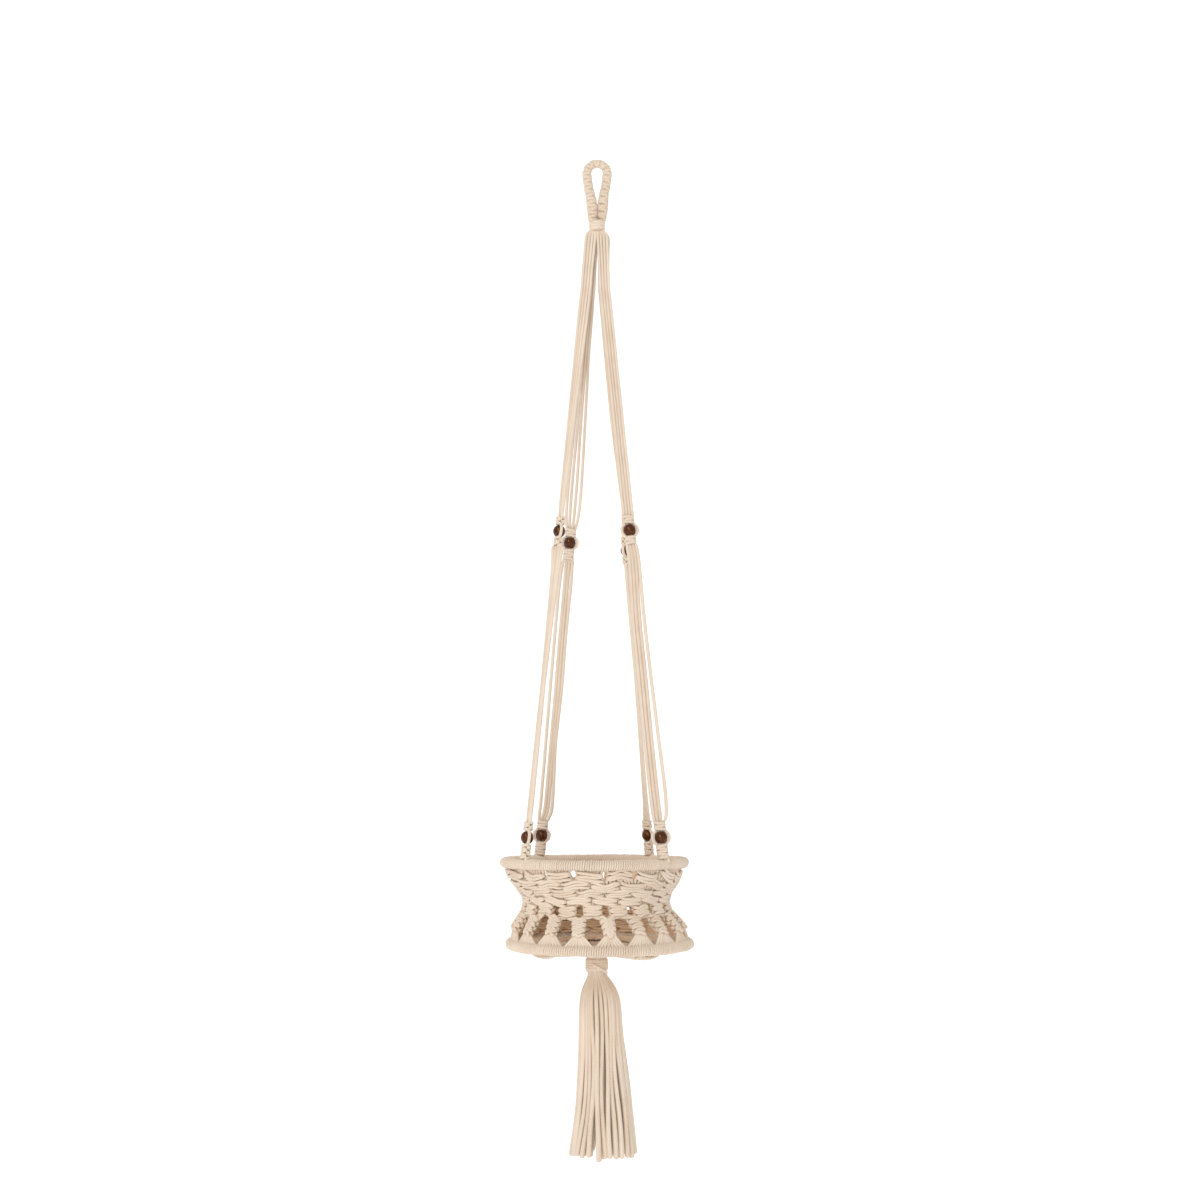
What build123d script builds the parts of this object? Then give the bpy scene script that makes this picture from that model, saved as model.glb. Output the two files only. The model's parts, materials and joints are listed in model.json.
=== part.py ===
"""Hanging macrame planter: a knotted cotton basket between two wrapped hoops, hung on four beaded legs.

Millimetres, +Z up. The origin is where a hook touches the inside top of the hanging loop, and
everything hangs below it. The front is -Y and +X is to the right of a person who faces the front.
"""

import os
from math import copysign, cos, radians, sin

from build123d import *

os.makedirs("parts", exist_ok=True)

# ---------------------------------------------------------------- driving dimensions
CORD = 3.1  # diameter of the cotton cord of the legs and the net
GAP = 0.3  # room between neighbours that move, or that only lie side by side

# Hanging loop: a sinnet bent into a teardrop round the hook.
LOOP_TUBE = 9.5  # thickness of the sinnet
LOOP_CORE = 6.0  # its filling of straight cords
LOOP_BEND_R = 12.6  # centreline radius of the round top
LOOP_FOOT_Z = -45.0  # where the two branches meet
LOOP_FOOT_X = 5.6  # half the distance between the branches there

# Swing joints are modelled as a ball end in a dimple, which stands for the flex of the cords.
BALL_R = 8.0
DIMPLE_R = BALL_R + 0.5
LIP = 5.5  # height of the dimple's rim above the centre of the ball

SWAY_Z = -61.0  # flex under the loop
COLLAR_TOP_Z, COLLAR_BOTTOM_Z = -68.5, -81.0
COLLAR_R = 9.6
NOD_Z = -90.5  # flex under the collar
BUNDLE_TOP_Z, SPLIT_Z = -98.5, -150.0  # all sixteen cords together, then four legs

# Legs: azimuth from the front, positive to the right, then how far the flat band of four cords is turned
# at the middle bead and at the lower one, in degrees, and the radius and height of the middle bead.
LEGS = {
    "front_left": (-48, -73, -73, 57, -450.0),
    "front_right": (48, 0, 0, 50, -448.0),
    "back_right": (140, -118, -58, 54, -458.0),
    "back_left": (220, 0, 0, 50, -449.5),
}
LEG_TOP_X, LEG_TOP_Y = 8.4, 5.0  # where the middle of each leg leaves the bundle
RIM_BEAD_Z = -790.5
BEAD_R = 7.0
BEAD_BORE_R = 3.45
KNOT_START = BEAD_R + 0.5  # distance from a bead's centre to the knots beside it
KNOT_LENGTH = 9.0
KNOT_WIDTH, KNOT_DEPTH = 4 * CORD, 7.0

# Hoops: a steel ring inside a wrapping of cord.
TOP_HOOP_Z, TOP_HOOP_X, TOP_HOOP_R = -819.0, -2.8, 99.8
BOTTOM_HOOP_Z, BOTTOM_HOOP_X, BOTTOM_HOOP_R = -907.5, 3.1, 98.9
HOOP_WIRE_R = 2.5
WRAP_R = HOOP_WIRE_R + CORD

# Net: its outside, as height below the hook, radius and sideways shift.
COLUMNS = 18
NET_WALL = 5.0
NET_UPPER = [(-825.2, 99.5, -2.8), (-834.5, 95.5, -2.3), (-843.0, 89.5, -1.5), (-852.0, 83.4, -0.8)]
NET_WAIST = [(-852.3, 83.2, -0.8), (-862.0, 81.1, -0.4), (-873.5, 84.2, 0.4)]
NET_LOWER = [(-873.8, 84.4, 0.4), (-883.3, 91.6, 1.8), (-892.2, 98.0, 2.6), (-901.4, 101.0, 3.0)]
WINDOW_WIDTH, WINDOW_HEIGHT = 19.0, 24.0
SMALL_WINDOW_WIDTH, SMALL_WINDOW_HEIGHT = 7.5, 10.0
WINDOW_PHASE = -3.2  # azimuth of the first large opening, in degrees
OPEN_FROM, OPEN_TO = -104.0, 137.0  # azimuths between which the net has openings; the back is knotted shut

# Bottom: cords run in from the lower hoop to the neck, and hang below it as the tassel.
FLOOR_Z = -909.0
FLOOR_WALL = 3.5
NECK_SWAY_Z = -917.0
NECK_TOP_Z, NECK_BOTTOM_Z = -922.5, -938.5
NECK_R = 12.6
TASSEL_NOD_Z = -944.0
TASSEL_END_Z = -1134.0
TASSEL_OUTLINE = [(9.0, -4.0), (14.0, -10.0), (21.0, -20.0), (24.5, -40.0), (27.0, -100.0), (36.0, -188.0)]


def save(piece, name):
    """Label a finished piece and write its STEP file."""
    piece.part.label = name
    export_step(piece.part, f"parts/{name}.step")


def azimuth_dir(degrees):
    """Horizontal unit vector at an azimuth counted from the front (-Y) towards +X."""
    a = radians(degrees)
    return Vector(sin(a), -cos(a), 0)


def cylinder_between(start, end, radius):
    """A straight round cord between two points, added to the part being built."""
    run = end - start
    with BuildSketch(Plane(origin=start, z_dir=run)) as section:
        Circle(radius)
    extrude(section.sketch, amount=run.length, dir=run.normalized())


def ball_stem(centre_z, foot_z, radius):
    """A ball end on a stem that runs down from it."""
    with Locations((0, 0, centre_z)):
        Sphere(BALL_R)
    with BuildSketch(Plane.XY.offset(foot_z)) as section:
        Circle(radius)
    extrude(section.sketch, amount=centre_z - foot_z)


def dimple(centre_z):
    """The hollow in which a ball end turns."""
    with Locations((0, 0, centre_z)):
        Sphere(DIMPLE_R, mode=Mode.SUBTRACT)


# ---------------------------------------------------------------- hanging loop
loop_centre_z = LOOP_TUBE / 2 - LOOP_BEND_R


def loop_path():
    """Teardrop centreline: up one branch, over the round top, and down the other."""
    left = (-LOOP_BEND_R, 0, loop_centre_z)
    top = (0, 0, loop_centre_z + LOOP_BEND_R)
    right = (LOOP_BEND_R, 0, loop_centre_z)
    with BuildLine() as path:
        Spline((-LOOP_FOOT_X, 0, LOOP_FOOT_Z), left, tangents=((-0.35, 0, 1), (0, 0, 1)))
        ThreePointArc(left, top, right)
        Spline(right, (LOOP_FOOT_X, 0, LOOP_FOOT_Z), tangents=((0, 0, -1), (-0.35, 0, -1)))
    return path


with BuildPart() as loop_core:
    path = loop_path()
    with BuildSketch(Plane(origin=path.line @ 0, z_dir=path.line % 0)):
        Circle(LOOP_CORE / 2)
    sweep(path=path.line)
save(loop_core, "loop_core")

with BuildPart() as loop_cover:
    path = loop_path()
    with BuildSketch(Plane(origin=path.line @ 0, z_dir=path.line % 0)):
        Circle(LOOP_TUBE / 2)
        Circle(LOOP_CORE / 2 + 0.05, mode=Mode.SUBTRACT)
    sweep(path=path.line)
save(loop_cover, "loop_cover")

with BuildPart() as loop_throat:
    with BuildSketch(Plane.XY.offset(LOOP_FOOT_Z - 1.9)):
        RectangleRounded(24.0, 11.0, 5.0)
    with BuildSketch(Plane.XY.offset(SWAY_Z + LIP)):
        RectangleRounded(22.0, 18.0, 8.5)
    loft()
    dimple(SWAY_Z)
save(loop_throat, "loop_throat")

# ---------------------------------------------------------------- collar
with BuildPart() as collar_core:
    ball_stem(SWAY_Z, COLLAR_BOTTOM_Z - GAP, BALL_R - 1.6)
    with BuildSketch(Plane.XY.offset(COLLAR_BOTTOM_Z - GAP)):
        Circle(COLLAR_R - 0.4)
    extrude(amount=NOD_Z + LIP - (COLLAR_BOTTOM_Z - GAP))
    dimple(NOD_Z)
save(collar_core, "collar_core")

with BuildPart() as collar_wrap:
    with BuildSketch(Plane.XY.offset(COLLAR_BOTTOM_Z)):
        Circle(COLLAR_R)
        Circle(BALL_R - 1.5, mode=Mode.SUBTRACT)
    extrude(amount=COLLAR_TOP_Z - COLLAR_BOTTOM_Z)
    fillet(collar_wrap.edges().filter_by(GeomType.CIRCLE).group_by(SortBy.RADIUS)[-1], 1.4)
save(collar_wrap, "collar_wrap")

# ---------------------------------------------------------------- bundle of all the cords
with BuildPart() as cord_bundle:
    ball_stem(NOD_Z, BUNDLE_TOP_Z, BALL_R)
    with BuildSketch(Plane.XY.offset(BUNDLE_TOP_Z)):
        Ellipse(11.0, 9.5)
    with BuildSketch(Plane.XY.offset(SPLIT_Z + GAP)):
        Ellipse(15.0, 12.0)
    loft()
save(cord_bundle, "cord_bundle")


# ---------------------------------------------------------------- legs
def leg_points(azimuth, mid_radius, mid_z):
    """The leg's top, middle bead and lower bead, and where it meets the top hoop."""
    out = azimuth_dir(azimuth)
    hoop_top = Vector(TOP_HOOP_X, 0, TOP_HOOP_Z) + out * TOP_HOOP_R + Vector(0, 0, WRAP_R)
    mid = out * mid_radius + Vector(0, 0, mid_z)
    share = (RIM_BEAD_Z - mid_z) / (hoop_top.Z - mid_z)
    rim = mid + (hoop_top - mid) * share
    return Vector(copysign(LEG_TOP_X, out.X), copysign(LEG_TOP_Y, out.Y), SPLIT_Z), mid, rim, hoop_top


def station(centre, toward, turn):
    """Plane at a bead: its X runs along the flat band of cords and its Z down the leg."""
    down = (toward - centre).normalized()
    wide = Vector(cos(radians(turn)), sin(radians(turn)), 0)
    wide = (wide - down * wide.dot(down)).normalized()
    return Plane(origin=centre, x_dir=wide, z_dir=down)


def square_knot(plane, start, length):
    """A knotted length of the leg, from start to start + length down the leg."""
    with BuildPart() as knot:
        with BuildSketch(plane.offset(start)):
            RectangleRounded(KNOT_WIDTH, KNOT_DEPTH, KNOT_DEPTH / 2 - 0.1)
        extrude(amount=length)
    return knot


def bead(plane):
    """A round wooden bead with a bore for the two filler cords."""
    with BuildPart() as ball:
        with Locations(plane):
            Sphere(BEAD_R)
            Cylinder(BEAD_BORE_R, 3 * BEAD_R, mode=Mode.SUBTRACT)
        fillet(ball.edges().filter_by(GeomType.CIRCLE), 0.5)
    return ball


def bead_cords(plane):
    """Two filler cords through the bead, and a working cord round each side of it."""
    side = 1.5 * CORD
    belly = BEAD_R + CORD / 2 + 0.5
    end = KNOT_START - 0.05
    with BuildPart() as cords:
        for sign in (-1, 1):
            x = sign * (CORD / 2 + 0.02)
            low, high = (plane.from_local_coords(Vector(x, 0, z)) for z in (-end, end))
            cylinder_between(low, high, CORD / 2)
            points = [plane.from_local_coords(Vector(*p)) for p in
                      ((sign * side, 0, -end), (sign * belly, 0, 0), (sign * side, 0, end))]
            with BuildLine() as bow:
                ThreePointArc(*points)
            with BuildSketch(Plane(origin=bow.line @ 0, z_dir=bow.line % 0)):
                Circle(CORD / 2)
            sweep(path=bow.line)
        with Locations(plane):
            Box(6 * BEAD_R, 6 * BEAD_R, 2 * end, mode=Mode.INTERSECT)
    return cords


def free_cords(top_plane, top_z, low_plane, low_z):
    """The four cords between two stations, side by side in a flat band."""
    with BuildPart() as cords:
        for place in (-1.5, -0.5, 0.5, 1.5):
            x = place * (CORD + 0.04)
            start = top_plane.from_local_coords(Vector(x, 0, top_z))
            end = low_plane.from_local_coords(Vector(x, 0, low_z))
            cylinder_between(start, end, CORD / 2)
    return cords


for side, (azimuth, mid_turn, rim_turn, mid_radius, mid_z) in LEGS.items():
    top, mid, rim, hoop_top = leg_points(azimuth, mid_radius, mid_z)
    top_plane = station(top, mid, mid_turn)
    mid_plane = station(mid, rim, mid_turn)
    rim_plane = station(rim, hoop_top, rim_turn)
    knot_end = KNOT_START + KNOT_LENGTH
    sinnet_length = (hoop_top - rim).length - KNOT_START - GAP
    pieces = {
        f"upper_cords_{side}": free_cords(top_plane, 3 * GAP, mid_plane, -knot_end - GAP),
        f"mid_knot_above_{side}": square_knot(mid_plane, -knot_end, KNOT_LENGTH),
        f"mid_bead_{side}": bead(mid_plane),
        f"mid_bead_cords_{side}": bead_cords(mid_plane),
        f"mid_knot_below_{side}": square_knot(mid_plane, KNOT_START, KNOT_LENGTH),
        f"lower_cords_{side}": free_cords(mid_plane, knot_end + GAP, rim_plane, -knot_end - GAP),
        f"rim_knot_above_{side}": square_knot(rim_plane, -knot_end, KNOT_LENGTH),
        f"rim_bead_{side}": bead(rim_plane),
        f"rim_bead_cords_{side}": bead_cords(rim_plane),
        f"rim_sinnet_{side}": square_knot(rim_plane, KNOT_START, sinnet_length),
    }
    for name, piece in pieces.items():
        save(piece, name)


# ---------------------------------------------------------------- hoops
def hoop(centre_x, centre_z, radius):
    """Steel ring."""
    with BuildPart() as ring:
        with Locations((centre_x, 0, centre_z)):
            Torus(radius, HOOP_WIRE_R)
    return ring


def hoop_wrap(centre_x, centre_z, radius):
    """Close winding of cord that hides the steel ring."""
    with BuildPart() as wrap:
        with Locations((centre_x, 0, centre_z)):
            Torus(radius, WRAP_R)
            Torus(radius, HOOP_WIRE_R + 0.05, mode=Mode.SUBTRACT)
    return wrap


save(hoop(TOP_HOOP_X, TOP_HOOP_Z, TOP_HOOP_R), "top_hoop")
save(hoop_wrap(TOP_HOOP_X, TOP_HOOP_Z, TOP_HOOP_R), "top_hoop_wrap")
save(hoop(BOTTOM_HOOP_X, BOTTOM_HOOP_Z, BOTTOM_HOOP_R), "bottom_hoop")
save(hoop_wrap(BOTTOM_HOOP_X, BOTTOM_HOOP_Z, BOTTOM_HOOP_R), "bottom_hoop_wrap")


# ---------------------------------------------------------------- net
def shell(outline):
    """A wall that follows the outline round the basket, one net thickness deep."""
    for inset, mode in ((0, Mode.ADD), (NET_WALL, Mode.SUBTRACT)):
        rings = []
        for z, radius, shift in outline:
            with BuildSketch(Plane.XY.offset(z)) as ring:
                with Locations((shift, 0)):
                    Circle(radius - inset)
            rings.append(ring.sketch)
        loft(rings, ruled=True, mode=mode)


def cut_windows(z, corners, phase):
    """A row of openings of the given outline between the knotted bars, round the front and the sides."""
    azimuths = [(phase + k * 360 / COLUMNS + 180) % 360 - 180 for k in range(COLUMNS)]
    for azimuth in azimuths:
        if not OPEN_FROM < azimuth < OPEN_TO:
            continue
        out = azimuth_dir(azimuth)
        with BuildSketch(Plane(origin=out * 60 + Vector(0, 0, z), x_dir=(-out.Y, out.X, 0), z_dir=out)) as opening:
            with BuildLine():
                Polyline(*corners, close=True)
            make_face()
        extrude(opening.sketch, amount=60, mode=Mode.SUBTRACT)


with BuildPart() as net_upper:
    shell(NET_UPPER)
save(net_upper, "net_upper")

with BuildPart() as net_waist:
    shell(NET_WAIST)
    half, peak = SMALL_WINDOW_WIDTH / 2, SMALL_WINDOW_HEIGHT / 2
    house = [(half, 0.2 * peak), (0, peak), (-half, 0.2 * peak), (-half, -peak), (half, -peak)]
    cut_windows(-866.0, house, WINDOW_PHASE + 180 / COLUMNS)
save(net_waist, "net_waist")

with BuildPart() as net_lower:
    shell(NET_LOWER)
    half, peak = WINDOW_WIDTH / 2, WINDOW_HEIGHT / 2
    shield = [(0.68 * half, 0.65 * peak), (0, peak), (-0.68 * half, 0.65 * peak), (-half, -0.2 * peak), (0, -peak), (half, -0.2 * peak)]
    cut_windows(-887.5, shield, WINDOW_PHASE)
save(net_lower, "net_lower")

# ---------------------------------------------------------------- bottom net and neck
floor_r = BOTTOM_HOOP_R - WRAP_R - GAP
with BuildPart() as bottom_net:
    with BuildSketch(Plane.XY.offset(FLOOR_Z - FLOOR_WALL)):
        with Locations((BOTTOM_HOOP_X, 0)):
            Circle(floor_r)
    extrude(amount=FLOOR_WALL)
    with BuildSketch(Plane.XY.offset(FLOOR_Z - FLOOR_WALL)):
        Circle(18.0)
    extrude(amount=FLOOR_WALL + 3.0)
    dimple(NECK_SWAY_Z)
save(bottom_net, "bottom_net")

with BuildPart() as neck_core:
    ball_stem(NECK_SWAY_Z, NECK_BOTTOM_Z, BALL_R)
    with BuildSketch(Plane.XY.offset(NECK_BOTTOM_Z)):
        Circle(NECK_R - CORD - 0.05)
    extrude(amount=NECK_TOP_Z - NECK_BOTTOM_Z)
    dimple(TASSEL_NOD_Z)
save(neck_core, "neck_core")

with BuildPart() as neck_wrap:
    with BuildSketch(Plane.XY.offset(NECK_BOTTOM_Z)):
        Circle(NECK_R)
        Circle(NECK_R - CORD, mode=Mode.SUBTRACT)
    extrude(amount=NECK_TOP_Z - NECK_BOTTOM_Z)
    fillet(neck_wrap.edges().filter_by(GeomType.CIRCLE).group_by(SortBy.RADIUS)[-1], 1.4)
save(neck_wrap, "neck_wrap")

# ---------------------------------------------------------------- tassel
with BuildPart() as tassel:
    with BuildSketch(Plane.XZ):
        with BuildLine():
            side = [(r, TASSEL_NOD_Z + z) for r, z in TASSEL_OUTLINE]
            Polyline((0, TASSEL_NOD_Z), (BALL_R - 1.5, TASSEL_NOD_Z), *side)
            Line(side[-1], (0, TASSEL_END_Z))
            Line((0, TASSEL_END_Z), (0, TASSEL_NOD_Z))
        make_face()
    revolve(axis=Axis.Z)
    with Locations((0, 0, TASSEL_NOD_Z)):
        Sphere(BALL_R)
save(tassel, "tassel")
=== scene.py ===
import json
from math import cos, pi, radians, sin

import bpy
import numpy as np
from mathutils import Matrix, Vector


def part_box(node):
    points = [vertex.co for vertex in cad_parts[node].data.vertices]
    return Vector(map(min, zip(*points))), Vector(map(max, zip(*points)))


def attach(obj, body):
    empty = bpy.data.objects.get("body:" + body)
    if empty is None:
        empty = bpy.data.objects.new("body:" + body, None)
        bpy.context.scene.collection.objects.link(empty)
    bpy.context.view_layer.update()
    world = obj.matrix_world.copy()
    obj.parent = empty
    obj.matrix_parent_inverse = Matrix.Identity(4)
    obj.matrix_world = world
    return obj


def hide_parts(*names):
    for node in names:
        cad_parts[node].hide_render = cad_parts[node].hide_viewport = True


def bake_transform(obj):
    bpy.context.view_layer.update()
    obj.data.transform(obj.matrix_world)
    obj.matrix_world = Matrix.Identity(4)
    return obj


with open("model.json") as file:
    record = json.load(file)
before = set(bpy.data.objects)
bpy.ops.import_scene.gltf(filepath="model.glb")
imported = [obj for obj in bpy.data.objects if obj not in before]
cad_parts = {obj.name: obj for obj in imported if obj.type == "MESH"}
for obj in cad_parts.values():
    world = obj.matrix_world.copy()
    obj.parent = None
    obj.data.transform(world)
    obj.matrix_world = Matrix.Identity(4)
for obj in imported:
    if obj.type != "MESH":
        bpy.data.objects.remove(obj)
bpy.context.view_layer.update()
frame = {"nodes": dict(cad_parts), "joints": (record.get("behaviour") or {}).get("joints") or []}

RANDOM = np.random.default_rng(7)

# Lengths below are in millimetres, and become metres where a mesh is built.
MM = 0.001
CORD_R = 1.75
SLACK_CORD_R = 2.0  # where a leg's cords hang free below the middle bead
TASSEL_CORD_R = 2.25
PLIES = 3
TWIST_PITCH = 10.0  # one turn of the cord's plies
HALF_KNOT = 3.05  # height of one half knot in 3 mm cord
EAR = 4.8  # how far the working cords of a leg reach to each side
SPACING = 3.3  # between cords that lie side by side

JOINTS = {j["name"]: j for j in frame["joints"]}


# ---------------------------------------------------------------- places read from the frame
def centre_and_size(node):
    """Middle and size of a CAD node's box, in millimetres."""
    low, high = (np.array(corner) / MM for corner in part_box(node))
    return (low + high) / 2, high - low


def joint_place(name):
    """A joint's point and axis, in millimetres."""
    joint = JOINTS[name]
    axis = np.array(joint["axis"], float)
    return np.array(joint["pos_m"], float) / MM, axis / np.linalg.norm(axis)


class Hoop:
    """A wrapped ring: its centre, the radius of its middle line and of its tube."""

    def __init__(self, name):
        middle, size = centre_and_size(name + "_wrap")
        self.centre = middle
        self.tube = size[2] / 2
        self.radius = size[0] / 2 - self.tube
        self.top = middle[2] + self.tube
        self.bottom = middle[2] - self.tube


TOP_HOOP = Hoop("top_hoop")
BOTTOM_HOOP = Hoop("bottom_hoop")
SIDES = ("front_left", "front_right", "back_left", "back_right")


# ---------------------------------------------------------------- curves and tubes
def smooth(points, per_span=8):
    """Catmull-Rom curve through the points."""
    p = np.asarray(points, float)
    p = np.vstack([2 * p[0] - p[1], p, 2 * p[-1] - p[-2]])
    t = np.linspace(0, 1, per_span, endpoint=False)[:, None]
    spans = []
    for a, b, c, d in zip(p[:-3], p[1:-2], p[2:-1], p[3:]):
        spans.append(0.5 * (2 * b + (c - a) * t + (2 * a - 5 * b + 4 * c - d) * t**2
                            + (3 * b - a - 3 * c + d) * t**3))
    return np.vstack(spans + [p[-2][None]])


def lengths_along(points):
    return np.concatenate([[0], np.cumsum(np.linalg.norm(np.diff(points, axis=0), axis=1))])


def even(points, step):
    """The same line with points about one step apart."""
    along = lengths_along(points)
    n = max(2, int(round(along[-1] / step)) + 1)
    at = np.linspace(0, along[-1], n)
    return np.column_stack([np.interp(at, along, points[:, k]) for k in range(3)]), at


def frames_along(points):
    """Two unit normals at each point, carried along without twisting."""
    tangent = np.gradient(points, axis=0)
    tangent /= np.linalg.norm(tangent, axis=1)[:, None]
    normal = np.empty_like(points)
    start = np.array([0.0, 1.0, 0.0]) if abs(tangent[0][1]) < 0.9 else np.array([1.0, 0.0, 0.0])
    normal[0] = start - tangent[0] * start.dot(tangent[0])
    normal[0] /= np.linalg.norm(normal[0])
    for i in range(1, len(points)):
        n = normal[i - 1] - tangent[i] * normal[i - 1].dot(tangent[i])
        normal[i] = n / np.linalg.norm(n)
    return normal, np.cross(tangent, normal)


def smooth_object(mesh, material):
    """The mesh as a smooth-shaded object in the scene."""
    mesh.polygons.foreach_set("use_smooth", [True] * len(mesh.polygons))
    mesh.materials.append(material)
    obj = bpy.data.objects.new(mesh.name, mesh)
    bpy.context.scene.collection.objects.link(obj)
    return obj


class Batch:
    """Cords gathered into one mesh: corner positions, faces, UVs and a tone for each cord."""

    def __init__(self):
        self.points, self.faces, self.uvs, self.tones, self.count = [], [], [], [], 0

    def add_rings(self, rings, v, tone, closed_ends=(False, False)):
        """rings is (n, sides, 3) and v the length along the cord at each ring."""
        n, sides, _ = rings.shape
        first = self.count
        self.points.append(rings.reshape(-1, 3))
        self.tones.append(np.full(n * sides, tone))
        self.count += n * sides
        i, j = np.meshgrid(np.arange(n - 1), np.arange(sides), indexing="ij")
        k = (j + 1) % sides
        quads = np.stack([first + i * sides + j, first + i * sides + k,
                          first + (i + 1) * sides + k, first + (i + 1) * sides + j], -1).reshape(-1, 4)
        self.faces.extend(quads.tolist())
        u0, u1 = j / sides, (j + 1) / sides
        low, high = v[i], v[i + 1]
        uv = np.stack([np.stack([u0, low], -1), np.stack([u1, low], -1),
                       np.stack([u1, high], -1), np.stack([u0, high], -1)], 2).reshape(-1, 2)
        self.uvs.append(uv)
        for end, wanted in enumerate(closed_ends):
            if not wanted:
                continue
            ring = rings[-end]
            around = np.arange(sides) + first + (n - 1) * sides * end
            self.points.append(ring.mean(0)[None])
            self.tones.append(np.array([tone]))
            tip = self.count
            self.count += 1
            order = around if end else around[::-1]
            for a, b in zip(order, np.roll(order, -1)):
                self.faces.append([int(a), int(b), tip])
            edge = v[-1] if end else v[0]
            self.uvs.append(np.tile([[0.0, edge], [1 / sides, edge], [0.5 / sides, edge]], (sides, 1)))

    def build(self, name, material):
        """One Blender mesh object, in metres, that also keeps how far each corner faces away from the Z axis, the mask
        for the painted shade on the net's inner faces.
        """
        mesh = bpy.data.meshes.new(name)
        mesh.from_pydata((np.vstack(self.points) * MM).tolist(), [], self.faces)
        mesh.uv_layers.new(name="cord").data.foreach_set("uv", np.vstack(self.uvs).astype(np.float32).ravel())
        tone = mesh.attributes.new("tone", "FLOAT", "POINT")
        tone.data.foreach_set("value", np.concatenate(self.tones).astype(np.float32))
        normals = np.empty(3 * self.count, np.float32)
        mesh.vertices.foreach_get("normal", normals)
        away = np.vstack(self.points)[:, :2]
        away = away / np.maximum(np.linalg.norm(away, axis=1, keepdims=True), 1e-6)
        outward = mesh.attributes.new("outward", "FLOAT", "POINT")
        outward.data.foreach_set("value", (normals.reshape(-1, 3)[:, :2] * away).sum(1).astype(np.float32))
        mesh.validate()
        return smooth_object(mesh, material)


def cord_rings(points, radius, sides, step, ply_depth=0.10, taper=(0, 0)):
    """Rings of a twisted cord that follows the points, and the length along it at each ring."""
    line, at = even(np.asarray(points, float), step)
    normal, side = frames_along(line)
    phase = RANDOM.uniform(0, 2 * pi)
    angle = np.linspace(0, 2 * pi, sides, endpoint=False)
    twist = 2 * pi * at / TWIST_PITCH + phase
    if np.isscalar(radius):
        r = np.full(len(at), float(radius))
    else:
        r = np.interp(at / at[-1], np.linspace(0, 1, len(radius)), radius)
    for end, length in enumerate(taper):
        if length:
            d = np.clip((at if end == 0 else at[-1] - at) / length, 0, 1)
            r = r * np.sqrt(np.clip(1 - (1 - d) ** 2, 0.02, 1))
    shape = 1 - ply_depth + ply_depth * np.abs(np.cos(PLIES / 2 * (angle[None, :] - twist[:, None]))) ** 0.7 * 1.15
    rr = r[:, None] * shape
    x, y = rr * np.cos(angle), rr * np.sin(angle)
    rings = line[:, None, :] + x[..., None] * normal[:, None, :] + y[..., None] * side[:, None, :]
    return rings, at


def add_cord(batch, points, radius=CORD_R, sides=12, step=1.3, closed_ends=(False, False), **shape):
    rings, at = cord_rings(points, radius, sides, step, **shape)
    batch.add_rings(rings, at, RANDOM.uniform(0, 1), closed_ends)


def add_split_cord(batches, stretches, sides=12):
    """One continuous cord through several named pieces: stretches is [(piece, points), ...]."""
    points = np.vstack([p for _, p in stretches])
    counts = np.cumsum([len(p) for _, p in stretches])
    keep = np.concatenate([[True], np.linalg.norm(np.diff(points, axis=0), axis=1) > 0.05])
    index = np.cumsum(keep) - 1
    points = points[keep]
    fine = smooth(points, 6)
    fine_length = lengths_along(fine)
    ends = [fine_length[min(index[c - 1], len(points) - 1) * 6] for c in counts]
    sampled = np.linspace(0, fine_length[-1], 400)
    radius = np.full(400, CORD_R)
    for (piece, _), low, high in zip(stretches, [0, *ends], ends):
        if piece.startswith("lower_cords"):
            radius += (SLACK_CORD_R - CORD_R) * np.clip(np.minimum(sampled - low, high - sampled) / 5, 0, 1)
    rings, at = cord_rings(fine, radius, sides, 1.3)
    tone = RANDOM.uniform(0, 1)
    start = 0
    for (piece, _), end in zip(stretches, ends):
        stop = int(np.searchsorted(at, end - 1e-6)) if end < ends[-1] else len(at) - 1
        stop = min(max(stop, start + 1), len(at) - 1)
        batches.setdefault(piece, Batch()).add_rings(rings[start:stop + 1], at[start:stop + 1], tone)
        start = stop


# ---------------------------------------------------------------- knots
def half_knots(count, pitch, side, front, ear=EAR, lift=2 * CORD_R, samples=10):
    """A working cord's local path (across, out, down) through a run of half knots.

    It starts at the ear on the given side and goes over the fillers (front 1) or behind them (-1)
    each time, so that two such cords make square knots.
    """
    points = []
    for k in range(count):
        s = np.linspace(0, 1, samples, endpoint=False)
        across = np.cos(pi * s)
        here = side * (-1) ** k
        points.append(np.column_stack([
            here * ear * np.sign(across) * np.abs(across) ** 0.85,
            front * lift * np.abs(np.sin(pi * s)) ** 0.75,
            (k + s + 0.8 * np.sin(2 * pi * s) / (2 * pi)) * pitch,
        ]))
    points.append(np.array([[side * (-1) ** count * ear, 0, count * pitch]]))
    return np.vstack(points)


class Station:
    """Local axes at a bead: across the flat band of cords, out of it, and down the leg."""

    def __init__(self, origin, across, down):
        self.origin = np.asarray(origin, float)
        self.down = down / np.linalg.norm(down)
        across = across - self.down * across.dot(self.down)
        self.across = across / np.linalg.norm(across)
        self.out = np.cross(self.down, self.across)

    def place(self, local):
        local = np.atleast_2d(local)
        return self.origin + local[:, :1] * self.across + local[:, 1:2] * self.out + local[:, 2:] * self.down


# ---------------------------------------------------------------- materials
def material(name):
    mat = bpy.data.materials.new(name)
    mat.use_nodes = True
    nodes, links = mat.node_tree.nodes, mat.node_tree.links
    shader = nodes["Principled BSDF"]

    def node(kind, **settings):
        made = nodes.new(kind)
        for key, value in settings.items():
            if hasattr(made, key):
                setattr(made, key, value)
            else:
                made.inputs[key].default_value = value
        return made

    return mat, node, links, shader


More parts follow.
